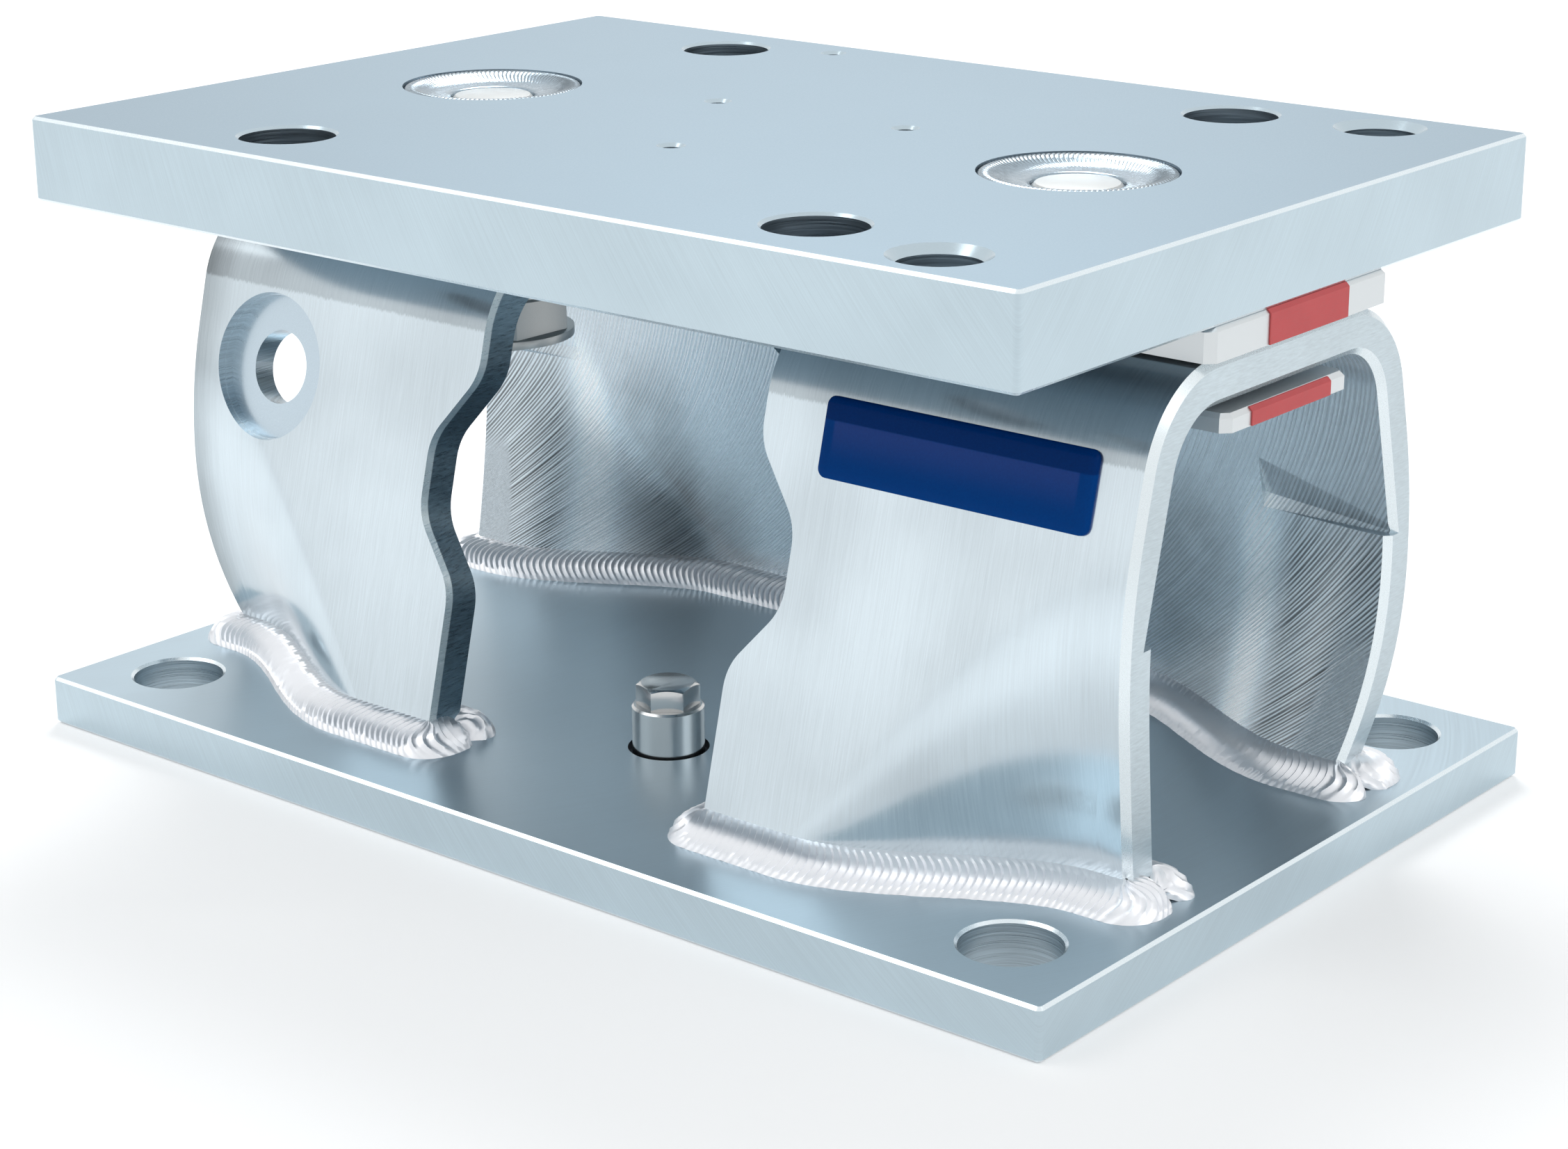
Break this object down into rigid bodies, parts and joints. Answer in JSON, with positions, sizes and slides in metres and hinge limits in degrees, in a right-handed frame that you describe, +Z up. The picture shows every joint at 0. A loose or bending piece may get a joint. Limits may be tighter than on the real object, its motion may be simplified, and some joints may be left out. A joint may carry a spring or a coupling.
{
  "type": "load cell weighing module",
  "caption": "Plate module that holds a load cell between a base plate and a top plate, with press-formed welded hoops, anti-lift bolts and pull-out locking shims.",
  "frame": {"origin": "middle of the base plate's underside", "axes": "+X along the plates towards the jacking holes, -Y towards the badge, +Z up"},
  "size_m": [0.3, 0.196, 0.153],
  "materials": {
    "plate_steel": "zinc-plated steel plate with a fine grind",
    "hoop_steel": "zinc-plated pressed steel plate, brushed",
    "weld_metal": "rippled weld bead, zinc-plated",
    "fastener_steel": "plain grey bolt steel",
    "stainless_steel": "turned stainless steel",
    "shim_steel": "cast grey steel with a fine grain",
    "tape_red": "matt coral red tape",
    "badge_blue": "blank domed clear-coated badge"
  },
  "bodies": {
    "base": {"base_plate": "plate_steel", "left_hoop": "hoop_steel", "right_hoop": "hoop_steel", "locating_sleeve": "stainless_steel", "locating_bolt": "fastener_steel", "badge": "badge_blue", "left_front_outer_weld": "weld_metal", "left_front_inner_weld": "weld_metal", "left_back_outer_weld": "weld_metal", "left_back_inner_weld": "weld_metal", "right_front_outer_weld": "weld_metal", "right_front_inner_weld": "weld_metal", "right_back_outer_weld": "weld_metal", "right_back_inner_weld": "weld_metal"},
    "lifting_top": {"top_plate": "plate_steel", "left_antilift_bolt": "fastener_steel", "left_antilift_washer": "fastener_steel", "left_plug_weld": "weld_metal", "right_antilift_bolt": "fastener_steel", "right_antilift_washer": "fastener_steel", "right_plug_weld": "weld_metal"},
    "right_upper_lock": {"right_upper_shim": "shim_steel", "right_upper_tape": "tape_red"},
    "right_lower_lock": {"right_lower_shim": "shim_steel", "right_lower_tape": "tape_red"},
    "left_upper_lock": {"left_upper_shim": "shim_steel", "left_upper_tape": "tape_red"},
    "left_lower_lock": {"left_lower_shim": "shim_steel", "left_lower_tape": "tape_red"}
  },
  "joints": [
    {"name": "top_lift", "type": "slide", "parent": "base", "child": "lifting_top", "axis": [0, 0, 1], "range_m": [0, 0.0019]},
    {"name": "right_upper_lock_pull", "type": "slide", "parent": "base", "child": "right_upper_lock", "axis": [1, 0, 0], "range_m": [0, 0.092]},
    {"name": "right_lower_lock_pull", "type": "slide", "parent": "lifting_top", "child": "right_lower_lock", "axis": [1, 0, 0], "range_m": [0, 0.056]},
    {"name": "left_upper_lock_pull", "type": "slide", "parent": "base", "child": "left_upper_lock", "axis": [-1, 0, 0], "range_m": [0, 0.092]},
    {"name": "left_lower_lock_pull", "type": "slide", "parent": "lifting_top", "child": "left_lower_lock", "axis": [-1, 0, 0], "range_m": [0, 0.056]}
  ]
}
